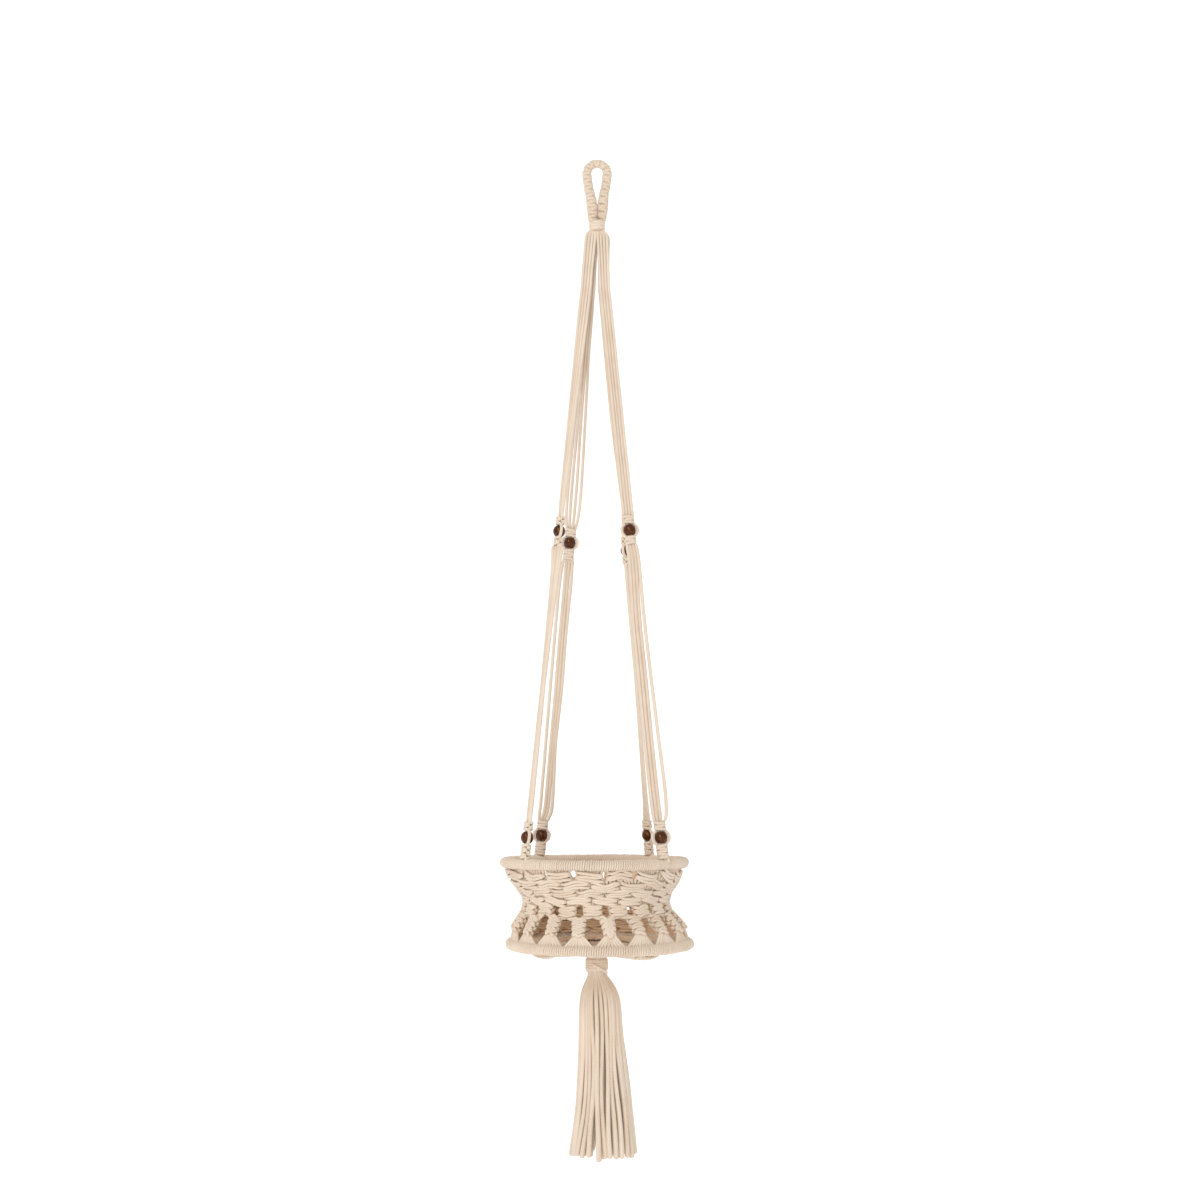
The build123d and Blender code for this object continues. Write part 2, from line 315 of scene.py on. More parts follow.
def ramp(node, links, source, stops):
    """A colour ramp driven by a socket."""
    made = node("ShaderNodeValToRGB")
    while len(made.color_ramp.elements) < len(stops):
        made.color_ramp.elements.new(0.5)
    for element, (place, colour) in zip(made.color_ramp.elements, stops):
        element.position = place
        element.color = (*colour, 1)
    links.new(source, made.inputs["Fac"])
    return made.outputs["Color"]


# Ends of the cotton's colour ramp, which mixes fibre texture, random tone and the painted shade between the plies.
COTTON_LIGHT, COTTON_DARK = (0.77, 0.655, 0.535), (0.57, 0.425, 0.305)


def cotton(name, painted_inside_shade=None):
    """Twisted cotton: fibres that wind round the cord, painted shade between the plies, uneven in tone.

    Faces that look towards the basket's axis are multiplied by a warm darker colour where one is given: painted shade
    for the net's interior.
    """
    mat, node, links, shader = material(name)
    uv = node("ShaderNodeUVMap", uv_map="cord")
    parts = node("ShaderNodeSeparateXYZ")
    links.new(uv.outputs["UV"], parts.inputs[0])

    def math(operation, a, b=None):
        made = node("ShaderNodeMath", operation=operation)
        for socket, value in zip(made.inputs, (a, b)):
            if value is None:
                continue
            if isinstance(value, (int, float)):
                socket.default_value = value
            else:
                links.new(value, socket)
        return made.outputs[0]

    # The angle round the cord less the turn of the twist stays put along a fibre.
    wound = math("SUBTRACT", parts.outputs["X"], math("DIVIDE", parts.outputs["Y"], TWIST_PITCH))
    angle = math("MULTIPLY", wound, 2 * pi)
    fibre = node("ShaderNodeCombineXYZ")
    links.new(math("COSINE", angle), fibre.inputs["X"])
    links.new(math("SINE", angle), fibre.inputs["Y"])
    links.new(math("MULTIPLY", parts.outputs["Y"], 0.16), fibre.inputs["Z"])
    fine = node("ShaderNodeTexNoise", Scale=9.0, Detail=4.0, Roughness=0.65)
    links.new(fibre.outputs[0], fine.inputs["Vector"])
    place = node("ShaderNodeTexCoord")
    blotch = node("ShaderNodeTexNoise", Scale=38.0, Detail=2.0)
    links.new(place.outputs["Object"], blotch.inputs["Vector"])
    fuzz = node("ShaderNodeTexNoise", Scale=2600.0, Detail=2.0)
    links.new(place.outputs["Object"], fuzz.inputs["Vector"])
    tone = node("ShaderNodeAttribute", attribute_name="tone")
    # Painted shade: the colour is darker in the grooves between the plies and lighter on their crests.
    valley = math("ABSOLUTE", math("COSINE", math("MULTIPLY", angle, PLIES / 2)))
    mixed = math("ADD", math("MULTIPLY", fine.outputs["Fac"], 0.55), math("MULTIPLY", blotch.outputs["Fac"], 0.35))
    mixed = math("ADD", mixed, math("MULTIPLY", tone.outputs["Fac"], 0.16))
    mixed = math("ADD", mixed, math("MULTIPLY", math("SUBTRACT", 0.55, valley), -0.12))
    between = tuple(0.35 * d + 0.65 * c for c, d in zip(COTTON_LIGHT, COTTON_DARK))
    colour = ramp(node, links, mixed, [(0.25, COTTON_DARK), (0.46, between), (0.68, COTTON_LIGHT)])
    # Painted shade: faces turned towards the basket's axis are multiplied by a warm darker colour, standing in for the
    # shade within the net.
    if painted_inside_shade:
        outward = node("ShaderNodeAttribute", attribute_name="outward")
        inward = node("ShaderNodeMapRange")
        inward.inputs["From Min"].default_value, inward.inputs["From Max"].default_value = 0.15, -0.35
        links.new(outward.outputs["Fac"], inward.inputs["Value"])
        tint = node("ShaderNodeMix", data_type="RGBA", blend_type="MULTIPLY")
        for socket in tint.inputs:
            if socket.type == "RGBA" and socket.name == "A":
                links.new(colour, socket)
            elif socket.type == "RGBA" and socket.name == "B":
                socket.default_value = (*painted_inside_shade, 1)
        links.new(inward.outputs[0], tint.inputs["Factor"])
        colour = next(o for o in tint.outputs if o.type == "RGBA")
    links.new(colour, shader.inputs["Base Color"])
    height = math("ADD", math("MULTIPLY", fine.outputs["Fac"], 0.8), math("MULTIPLY", fuzz.outputs["Fac"], 0.45))
    bump = node("ShaderNodeBump", Strength=0.45, Distance=0.00045)
    links.new(height, bump.inputs["Height"])
    links.new(bump.outputs["Normal"], shader.inputs["Normal"])
    shader.inputs["Roughness"].default_value = 0.88
    shader.inputs["Specular IOR Level"].default_value = 0.25
    shader.inputs["Sheen Weight"].default_value = 0.35
    shader.inputs["Sheen Roughness"].default_value = 0.5
    shader.inputs["Sheen Tint"].default_value = (1.0, 0.93, 0.85, 1)
    return mat


def bead_wood():
    """Dark red-brown stained wood under gloss varnish, with fine grain down the bead."""
    mat, node, links, shader = material("bead_wood")
    place = node("ShaderNodeTexCoord")
    stretch = node("ShaderNodeMapping")
    stretch.inputs["Scale"].default_value = (1.0, 1.0, 0.22)
    links.new(place.outputs["Object"], stretch.inputs["Vector"])
    grain = node("ShaderNodeTexNoise", Scale=620.0, Detail=5.0, Roughness=0.6, Distortion=0.7)
    links.new(stretch.outputs["Vector"], grain.inputs["Vector"])
    colour = ramp(node, links, grain.outputs["Fac"],
                  [(0.34, (0.012, 0.002, 0.0004)), (0.52, (0.052, 0.011, 0.002)), (0.70, (0.14, 0.035, 0.008))])
    links.new(colour, shader.inputs["Base Color"])
    bump = node("ShaderNodeBump", Strength=0.12, Distance=0.0003)
    links.new(grain.outputs["Fac"], bump.inputs["Height"])
    links.new(bump.outputs["Normal"], shader.inputs["Normal"])
    shader.inputs["Roughness"].default_value = 0.22
    shader.inputs["Specular IOR Level"].default_value = 0.6
    shader.inputs["Specular Tint"].default_value = (1.0, 0.58, 0.36, 1)
    return mat


def ring_steel():
    """Plain drawn steel rod."""
    mat, node, links, shader = material("ring_steel")
    place = node("ShaderNodeTexCoord")
    mark = node("ShaderNodeTexNoise", Scale=220.0, Detail=3.0)
    links.new(place.outputs["Object"], mark.inputs["Vector"])
    colour = ramp(node, links, mark.outputs["Fac"], [(0.3, (0.30, 0.30, 0.31)), (0.7, (0.50, 0.50, 0.51))])
    links.new(colour, shader.inputs["Base Color"])
    rough = node("ShaderNodeMapRange")
    rough.inputs["To Min"].default_value, rough.inputs["To Max"].default_value = 0.3, 0.5
    links.new(mark.outputs["Fac"], rough.inputs["Value"])
    links.new(rough.outputs[0], shader.inputs["Roughness"])
    shader.inputs["Metallic"].default_value = 1.0
    return mat


COTTON = cotton("cotton_cord")
# The net's cotton carries painted shade on the faces that look towards the basket's axis.
NET_COTTON_PAINTED_SHADE = cotton("cotton_net_painted_shade", painted_inside_shade=(1.09, 0.95, 0.80))
WOOD = bead_wood()
STEEL = ring_steel()


def finish_piece(obj, body=None, nodes=(), blend=None):
    """Hides the replaced nodes, then either hangs the object under its body's empty or, where a blend is given, bakes
    its transform into the mesh.
    """
    if nodes:
        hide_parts(*nodes)
    if blend:
        a, b, start, end = blend
        tuple(np.array(start) * MM)
        tuple(np.array(end) * MM)
        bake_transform(obj)
    else:
        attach(obj, body)
    return obj


# ---------------------------------------------------------------- camera, lights and stage
# The picture is square and takes in the whole height from about 1.65 m, looking up a little from the
# height of the basket.
PICTURE = 1200
FOCAL_PX = 1457.7
DISTANCE = 1655.0
CAMERA_Z = -757.6
PITCH = 8.07


def add_camera():
    data = bpy.data.cameras.new("camera")
    data.sensor_width = 36.0
    data.lens = 36.0 * FOCAL_PX / PICTURE
    data.clip_end = 100
    camera = bpy.data.objects.new("camera", data)
    camera.location = (3.6 * MM, -DISTANCE * MM, CAMERA_Z * MM)
    camera.rotation_euler = (radians(90 + PITCH), 0, 0)
    bpy.context.scene.collection.objects.link(camera)
    bpy.context.scene.camera = camera


def add_area(name, location, target, size, power, colour=(1, 1, 1)):
    data = bpy.data.lights.new(name, "AREA")
    data.shape = "RECTANGLE"
    data.size, data.size_y = size
    data.energy = power
    data.color = colour
    light = bpy.data.objects.new(name, data)
    light.location = location
    light.rotation_euler = (Vector(target) - Vector(location)).to_track_quat("-Z", "Y").to_euler()
    bpy.context.scene.collection.objects.link(light)


def add_stage():
    """A white floor that curves up into a backdrop, well clear of the planter."""
    floor_z, back_y, bend, half = -1.55, 3.6, 1.2, 7.0
    outline = [(-6.0, floor_z), (back_y - bend, floor_z)]
    for k in range(1, 13):
        a = radians(90 * k / 12)
        outline.append((back_y - bend + bend * sin(a), floor_z + bend - bend * cos(a)))
    outline.append((back_y, 6.5))
    verts = [(x, y, z) for x in (-half, half) for y, z in outline]
    n = len(outline)
    faces = [(i, i + n, i + n + 1, i + 1) for i in range(n - 1)]
    mesh = bpy.data.meshes.new("stage_floor")
    mesh.from_pydata(verts, [], faces)
    mat, _, _, shader = material("stage_white")
    shader.inputs["Base Color"].default_value = (0.9, 0.9, 0.9, 1)
    shader.inputs["Emission Color"].default_value = (1, 1, 1, 1)
    shader.inputs["Emission Strength"].default_value = 0.34
    shader.inputs["Roughness"].default_value = 0.9
    shader.inputs["Specular IOR Level"].default_value = 0.0
    smooth_object(mesh, mat)


def light_scene():
    world = bpy.data.worlds.new("world")
    world.use_nodes = True
    background = world.node_tree.nodes["Background"]
    background.inputs["Color"].default_value = (1.0, 1.0, 1.0, 1)
    background.inputs["Strength"].default_value = 0.68
    bpy.context.scene.world = world
    scene = bpy.context.scene
    scene.view_settings.view_transform = "Standard"
    scene.view_settings.look = "None"
    target = (0, 0, -0.8)
    add_area("key", (-1.5, -3.2, 1.5), target, (1.1, 1.1), 40, (1.0, 0.985, 0.96))
    add_area("front", (-0.25, -2.4, -0.45), target, (0.5, 0.5), 9)


add_camera()
light_scene()
add_stage()


# ---------------------------------------------------------------- hanging loop and collar
COLLAR_MIDDLE, COLLAR_SIZE = centre_and_size("collar_wrap")
COLLAR_TOP = COLLAR_MIDDLE[2] + COLLAR_SIZE[2] / 2
COLLAR_BOTTOM = COLLAR_MIDDLE[2] - COLLAR_SIZE[2] / 2
LOOP_SIZE = centre_and_size("loop_cover")[1]
LOOP_TUBE_R = LOOP_SIZE[1] / 2
LOOP_BEND_R = LOOP_SIZE[0] / 2 - LOOP_TUBE_R


def loop_line():
    """Middle line of the loop's sinnet, from under the collar's top round and back."""
    bend = LOOP_BEND_R - 0.4
    top_z = 4.6 - bend
    arc = [(bend * sin(a), 0, top_z + bend * cos(a)) for a in np.radians(np.arange(-90, 91, 22.5))]
    left = [(-3.2, -1.9, COLLAR_TOP - 6), (-4.9, -1.8, -66), (-5.4, -1.3, -57), (-6.3, -0.4, -45.4), (-8.3, 0, -34),
            (-10.5, 0, -23)]
    right = [(-x + (0.8 if -60 < z < -40 else 0), -y, z) for x, y, z in reversed(left)]
    return smooth(left + arc + right, 10)


# How much the sinnet is drawn tight or left slack, by height on the loop.
LOOP_SLACK = [(-75, 0.85), (-68, 1.02), (-57, 1.20), (-45, 1.28), (-34, 1.10), (-23, 1.05), (-12, 1.09), (-3, 1.0),
              (5, 0.9)]


def along_line(line, local):
    """Places (across, out, down) points on a curved line that stays near the XZ plane."""
    at = lengths_along(line)
    tangent = np.gradient(line, axis=0)
    tangent /= np.linalg.norm(tangent, axis=1)[:, None]
    out = np.array([0.0, -1.0, 0.0])
    across = np.cross(out, tangent)
    across /= np.linalg.norm(across, axis=1)[:, None]
    where = np.column_stack([np.interp(local[:, 2], at, line[:, k]) for k in range(3)])
    wide = np.column_stack([np.interp(local[:, 2], at, across[:, k]) for k in range(3)])
    return where + local[:, :1] * wide + local[:, 1:2] * out


def make_loop():
    line = loop_line()
    total = lengths_along(line)[-1]
    count = 2 * int(total / 8.7)
    pitch = total / count
    cover, core = Batch(), Batch()
    for side, front in ((1, 1), (-1, -1)):
        local = half_knots(count, pitch, side, front, ear=3.1, lift=2.9, samples=10)
        # Along the second half of the loop the half knots are drawn up in pairs.
        paired = np.clip((local[:, 2] / total - 0.42) / 0.1, 0, 1)
        local[:, 2] += 0.62 * paired * np.sin(2 * pi * local[:, 2] / (2 * pitch))
        heights, slack = zip(*LOOP_SLACK)
        at = lengths_along(line)
        local[:, :2] *= np.interp(np.interp(local[:, 2], at, line[:, 2]), heights, slack)[:, None]
        girth = 2.38 * np.interp(np.interp(np.linspace(0, total, 60), at, line[:, 2]), heights, slack) ** 0.6
        add_cord(cover, smooth(along_line(line, local), 2), radius=girth, sides=14, step=0.9, ply_depth=0.08)
    middle = np.column_stack([np.zeros(90), np.zeros(90), np.linspace(0, total, 90)])
    add_cord(core, along_line(line, middle), radius=3.4, sides=12)
    bend = ("hanging_loop", "collar", (0, 0, -54), (0, 0, COLLAR_TOP))
    finish_piece(cover.build("loop_sinnet", COTTON), nodes=("loop_cover", "loop_throat"), blend=bend)
    finish_piece(core.build("loop_filling", COTTON), nodes=("loop_core",), blend=bend)


def wound_band(batch, radius, top, bottom, turns, cord_r, lean, start):
    """Turns of cord side by side round a gathering knot, higher on the right by the lean."""
    t = np.linspace(0, turns, int(turns * 40) + 1)
    a = 2 * pi * t + start
    z = top - cord_r + (bottom - top + 2 * cord_r) * t / turns + lean * np.cos(a)
    points = np.column_stack([radius * np.cos(a), radius * np.sin(a), z])
    tucked = [np.array([[0.6 * radius * cos(b), 0.6 * radius * sin(b), h]])
              for b, h in ((a[0] - 0.2, z[0]), (a[-1] + 0.2, z[-1]))]
    add_cord(batch, np.vstack([tucked[0], points, tucked[1]]), radius=cord_r, sides=14, step=1.0)


def make_collar():
    wrap = Batch()
    wound_band(wrap, 7.1, COLLAR_TOP + 1.0, COLLAR_BOTTOM - 0.6, 2.9, 2.45, lean=1.5, start=2.2)
    add_cord(wrap, [(0, 0, COLLAR_TOP), (0, 0, COLLAR_BOTTOM)], radius=6.2, sides=20, ply_depth=0)
    finish_piece(wrap.build("collar_wrap_turns", COTTON), body="collar", nodes=("collar_wrap", "collar_core"))


# ---------------------------------------------------------------- legs
# Where each leg leaves the bundle: sideways and front to back.
LEG_TOP = {"front_left": (-12.6, -3.9), "front_right": (8.9, -3.9), "back_left": (-8.4, 2.6), "back_right": (7.8, 2.6)}
SPLIT_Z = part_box("cord_bundle")[0][2] / MM
BEAD_R = 7.0
KNOT_START = 7.5  # from a bead's centre to the knots beside it
FIRST_KNOT = 3  # half knots above each bead
IN_BUNDLE = 3.55  # between the cords of one leg, side by side under the collar
# Under the collar the front legs' cords lie in one row and the back legs' cords in another behind it.
BUNDLE_ROW = {"front_left": (-13.0, -4.4), "front_right": (1.1, -4.4),
              "back_left": (-11.2, 1.0), "back_right": (2.9, 1.0)}
EVEN = (-1.5 * SPACING, -0.5 * SPACING, 0.5 * SPACING, 1.5 * SPACING)
# How each leg's four cords lie across its band on the way down, as (share of the way, four offsets),
# first above the middle bead, then below it.
UPPER_SPREAD = {
    "front_left": [(0, EVEN), (1, EVEN)],
    "front_right": [(0, EVEN), (0.5, (-4.8, -1.6, 1.7, 4.9)), (1, EVEN)],
    "back_right": [(0, EVEN), (1, EVEN)],
    "back_left": [(0, EVEN), (0.3, EVEN), (0.6, (-5.8, -1.9, 2.0, 7.2)), (0.85, (-7.4, -2.8, 2.9, 8.6)),
                  (0.96, (-6.6, -2.4, 2.5, 7.6)), (1, EVEN)],
}
LOWER_SPREAD = {
    "front_left": [(0, EVEN), (1, EVEN)],
    "front_right": [(0, EVEN), (0.012, (-4.4, -1.1, 2.4, 6.0)), (0.07, (-3.6, 0.0, 3.5, 7.0)),
                    (0.27, (-6.2, -2.6, 1.0, 6.1)), (0.49, (-6.4, -2.6, 1.2, 7.0)),
                    (0.71, (-6.8, -3.0, 0.8, 8.5)), (0.875, (-6.6, -2.9, 0.9, 9.8)),
                    (0.96, (-6.2, -2.4, 1.4, 9.2)), (0.988, (-5.6, -2.0, 1.6, 7.3)), (1, EVEN)],
    "back_right": [(0, EVEN), (1, EVEN)],
    "back_left": [(0, EVEN), (0.02, (-6.2, -1.7, 1.6, 5.2)), (0.086, (-7.6, -1.4, 1.8, 6.4)),
                  (0.27, (-7.3, -1.2, 2.0, 5.8)), (0.49, (-6.6, 0.0, 3.4, 6.9)),
                  (0.71, (-5.6, 0.6, 3.3, 5.9)), (0.93, (-4.7, 1.2, 4.8, 9.3)),
                  (0.975, (-4.9, 0.2, 3.6, 8.4)), (0.99, (-4.9, -1.2, 2.0, 6.4)), (1, EVEN)],
}
# Two legs hang with their knots turned towards edge on, so their bands turn on the way. Degrees at the
# middle and lower beads, then degrees by share of the way.
BAND_TURN = {"front_left": (-73, -73), "back_right": (-118, -58)}
UPPER_TURN = {"front_left": [(0, 0), (0.4, -40), (0.8, -64), (1, -73)],
              "back_right": [(0, 0), (0.5, -30), (0.9, -90), (1, -118)]}
LOWER_TURN = {"front_left": [(0, -73), (0.007, -15), (0.02, -5), (0.05, -28), (0.09, -48), (0.27, -62), (0.5, -72),
                             (1, -73)],
              "back_right": [(0, -118), (0.07, -112), (0.27, -104), (0.5, -92), (0.93, -78), (0.985, -66), (1, -58)]}
KNOTS_UNDER_MID_BEAD = {"back_left": 4}  # half knots, where not three


def leg_stations(side):
    stations = []
    for kind, turn in zip(("mid", "rim"), np.radians(BAND_TURN.get(side, (0, 0)))):
        place, up = joint_place(f"{kind}_bead_{side}_spin")
        stations.append(Station(place, np.array([cos(turn), sin(turn), 0]), -up))
    return stations


def knot_and_bead(station, slot_side, front, before, after, names):
    """A cord's path past one bead: the knot above, the bead, and the knot below it."""
    above_name, bead_name, below_name = names
    start = -KNOT_START - before * HALF_KNOT
    belly = BEAD_R + CORD_R + 0.15
    if slot_side in (-1, 1):
        knot = half_knots(before, HALF_KNOT, slot_side, front) + [0, 0, start]
        here = slot_side * (-1) ** before
        bow = np.array([[here * 5.6, 0, -6.4], [here * (belly - 0.5), 0, -3.4], [here * belly, 0, 0],
                        [here * (belly - 0.5), 0, 3.4], [here * 5.6, 0, 6.4]])
        below = half_knots(after, HALF_KNOT, here, front) + [0, 0, KNOT_START]
        out_side = here * (-1) ** after
    else:
        u = np.sign(slot_side) * SPACING / 2  # the fillers lie side by side in the middle
        knot = np.array([[u, 0, start], [u, 0, start / 2 - KNOT_START / 2], [u, 0, -KNOT_START]])
        bow = np.array([[u, 0, -4.0], [u, 0, 0], [u, 0, 4.0]])
        end = KNOT_START + after * HALF_KNOT
        below = np.array([[u, 0, KNOT_START], [u, 0, (KNOT_START + end) / 2], [u, 0, end]])
        out_side = slot_side
    place = station.place
    return [(above_name, place(knot)), (bead_name, place(bow)), (below_name, place(below))], out_side


def free_stretch(start, end, spread, turn, number):
    """One cord's free run between two knots, as it lies in its leg's band."""
    shares = (0.008, 0.025, 0.06, 0.12, 0.2, 0.3, 0.4, 0.5, 0.6, 0.7, 0.8, 0.88, 0.94, 0.97, 0.99)
    points = []
    level = RANDOM.normal(0, 0.35, 3)
    for share in shares:
        across = np.interp(share, [t for t, _ in spread], [row[number] for _, row in spread])
        angle = radians(np.interp(share, [t for t, _ in turn], [a for _, a in turn])) if turn else 0.0
        depth = np.interp(share, (0, 0.5, 1), level) * (1 if 0.05 < share < 0.95 else 0.2)
        base = start + (end - start) * share
        sway = RANDOM.normal(0, 0.05)
        points.append(base + [(across + sway) * cos(angle) - depth * sin(angle),
                              (across + sway) * sin(angle) + depth * cos(angle), 0])
    return np.array(points)


def make_leg(side, gathered, batches):
    mid, rim = leg_stations(side)
    top = np.array([*LEG_TOP[side], SPLIT_Z])
    hoop_drop = (rim.origin[2] - TOP_HOOP.top) / abs(rim.down[2])
    rim_knots = max(3, int(round((hoop_drop - KNOT_START + 1.0) / HALF_KNOT)))
    row_x, row_y = BUNDLE_ROW[side]
    for number in range(4):
        slot_side = (-1, -0.5, 0.5, 1)[number]
        front = 1 if number == 0 else -1
        gx, gy = gathered[number]
        rx, ry = row_x + IN_BUNDLE * number, row_y + RANDOM.normal(0, 0.3)
        target = top + [EVEN[number], 0, 0]
        bundle = [[gx, gy, COLLAR_BOTTOM + 5], [gx, gy, COLLAR_BOTTOM + 1.5],
                  [0.25 * gx + 0.75 * rx, 0.4 * gy + 0.6 * ry, COLLAR_BOTTOM - 3.5],
                  [rx, ry, COLLAR_BOTTOM - 10], [0.75 * rx + 0.25 * target[0], ry, COLLAR_BOTTOM - 24],
                  [0.35 * rx + 0.65 * target[0], 0.35 * ry + 0.65 * target[1], COLLAR_BOTTOM - 46]]
        names = (f"mid_knot_above_{side}", f"mid_bead_cords_{side}", f"mid_knot_below_{side}")
        under = KNOTS_UNDER_MID_BEAD.get(side, 3)
        first, _ = knot_and_bead(mid, slot_side, front, FIRST_KNOT, under, names)
        names = (f"rim_knot_above_{side}", f"rim_bead_cords_{side}", f"rim_sinnet_{side}")
        second, _ = knot_and_bead(rim, slot_side, front, FIRST_KNOT, rim_knots, names)
        knot_top = -KNOT_START - FIRST_KNOT * HALF_KNOT
        mid_above, rim_above = (station.place([0, 0, knot_top])[0] for station in (mid, rim))
        mid_below = mid.place([0, 0, KNOT_START + under * HALF_KNOT])[0]
        upper = free_stretch(top, mid_above, UPPER_SPREAD[side], UPPER_TURN.get(side), number)
        lower = free_stretch(mid_below, rim_above, LOWER_SPREAD[side], LOWER_TURN.get(side), number)
        stretches = [
            ("cord_bundle", np.array(bundle)),
            (f"upper_cords_{side}", np.vstack([[target], upper[1:]])),
            *first,
            (f"lower_cords_{side}", lower),
            *second,
        ]
        last = second[2][1][-1]
        spread = (number - 1.5) * 1.2
        foot = last + rim.across * spread
        foot[2] = TOP_HOOP.centre[2] + 1.5
        stretches[-1] = (stretches[-1][0], np.vstack([stretches[-1][1], [foot]]))
        add_split_cord(batches, stretches)


def make_legs():
    batches = {}
    for side in SIDES:
        across = [BUNDLE_ROW[side][0] + IN_BUNDLE * k for k in range(4)]
        deep = -3.6 if "front" in side else 2.6
        gathered = [(0.52 * x, deep * (1 - abs(x) / 22)) for x in across]
        make_leg(side, gathered, batches)
    for name, batch in batches.items():
        obj = batch.build(name + "_cotton", COTTON)
        if name == "cord_bundle":
            bend = ("collar", "cradle", (0, 0, COLLAR_BOTTOM), (0, 0, COLLAR_BOTTOM - 24))
            finish_piece(obj, nodes=(name,), blend=bend)
        else:
            finish_piece(obj, body="cradle", nodes=(name,))


def make_bead(name, body):
    """Turned bead: a slightly tall ball with a bore and eased bore edges, as one turned outline."""
    middle, up = joint_place(f"{name}_spin")
    bore = 3.45
    tall = 1.04
    edge = np.arcsin(bore / BEAD_R) + 0.07
    outline = [(BEAD_R * sin(a), BEAD_R * tall * cos(a)) for a in np.linspace(edge, pi - edge, 26)]
    lip = outline[0][1]
    outline = [(bore, 0.0), (bore, lip * 0.6), (bore, lip - 0.5), (bore + 0.12, lip - 0.12)] + outline
    outline += [(bore + 0.12, -lip + 0.12), (bore, -lip + 0.5), (bore, -lip * 0.6)]
    sides = 48
    side_axis = Vector((1, 0, 0)) if abs(up[0]) < 0.9 else Vector((0, 1, 0))
    x_axis = Vector(up).cross(side_axis).normalized()
    y_axis = Vector(up).cross(x_axis)
    verts, faces = [], []
    for r, h in outline:
        for k in range(sides):
            a = 2 * pi * k / sides
            out = cos(a) * np.array(x_axis) + sin(a) * np.array(y_axis)
            verts.append(tuple((np.array(middle) + r * out + h * up) * MM))
    n = len(outline)
    for i in range(n):
        j = (i + 1) % n
        for k in range(sides):
            l = (k + 1) % sides
            faces.append((i * sides + k, j * sides + k, j * sides + l, i * sides + l))
    mesh = bpy.data.meshes.new(name + "_turned")
    mesh.from_pydata(verts, [], faces)
    finish_piece(smooth_object(mesh, WOOD), body=body, nodes=(name,))


# ---------------------------------------------------------------- hoops
def make_hoop_wrap(hoop, name, body):
    """Close winding of cord round the steel ring, each turn slightly uneven."""
    cord_r = 1.25
    middle_r = hoop.tube - cord_r + 0.15
    turns = int(2 * pi * hoop.radius / (2 * cord_r * 0.98))
    per_turn = 16
    t = np.arange(turns * per_turn + 1) / per_turn
    jitter = np.interp(t, np.arange(turns + 2), RANDOM.normal(0, 0.26, turns + 2))
    jitter = jitter + 0.3 * np.sin(5 * 2 * pi * t / turns + 1.0)
    phi = 2 * pi * t / turns
    a = 2 * pi * t
    r = middle_r + jitter * 0.7
    radial = hoop.radius + r * np.cos(a)
    points = np.column_stack([hoop.centre[0] + radial * np.cos(phi), hoop.centre[1] + radial * np.sin(phi),
                              hoop.centre[2] + r * np.sin(a)])
    batch = Batch()
    add_cord(batch, points, radius=cord_r, sides=8, step=1.35, ply_depth=0.05)
    finish_piece(batch.build(name + "_turns", COTTON), body=body, nodes=(name,))


# ---------------------------------------------------------------- net
COLUMNS = 18
GROUP = 8  # strands worked together in each knot
STRANDS = GROUP * COLUMNS
WINDOW_PHASE = -3.2
OPEN_FROM, OPEN_TO = -104.0, 137.0  # azimuths with openings; the back is knotted shut
# Outlines of the net and the floor: height, radius, and how far the middle is to the right.
NET_OUTLINE = [(-822.0, 99.0, -2.8), (-825.2, 98.8, -2.8), (-834.5, 95.2, -2.3), (-843.0, 89.2, -1.5),
               (-852.0, 83.2, -0.8), (-862.0, 80.6, -0.4), (-873.5, 84.0, 0.4), (-883.3, 91.4, 1.8),
               (-892.2, 97.6, 2.6), (-901.4, 100.6, 3.0), (-905.5, 101.0, 3.1)]
NET_HALF = 3.1  # from the middle of the net's thickness to its outside


class Surface:
    """The middle surface of a knotted net: azimuth, length down the slope, and distance out of it."""

    def __init__(self, outline, inset=0.0, sag=None):
        outline = smooth(outline, 12)
        self.z, self.r, self.shift = outline[:, 0], outline[:, 1] - inset, outline[:, 2]
        self.at = np.concatenate([[0], np.cumsum(np.hypot(np.diff(self.z), np.diff(self.r)))])
        dz, dr = np.gradient(self.z, self.at), np.gradient(self.r, self.at)
        norm = np.hypot(dz, dr)
        self.nr, self.nz = -dz / norm, dr / norm
        self.sag = sag

    def radius(self, s):
        return np.interp(s, self.at, self.r)

    def place(self, azimuth, s, out):
        def get(values):
            return np.interp(s, self.at, values)

        radial = get(self.r) + out * get(self.nr)
        a = np.radians(azimuth)
        z = get(self.z) + out * get(self.nz)
        if self.sag:
            z = z - self.sag(azimuth, radial)
        return np.column_stack([get(self.shift) + radial * np.sin(a), -radial * np.cos(a), z])


NET = Surface(NET_OUTLINE, inset=NET_HALF)
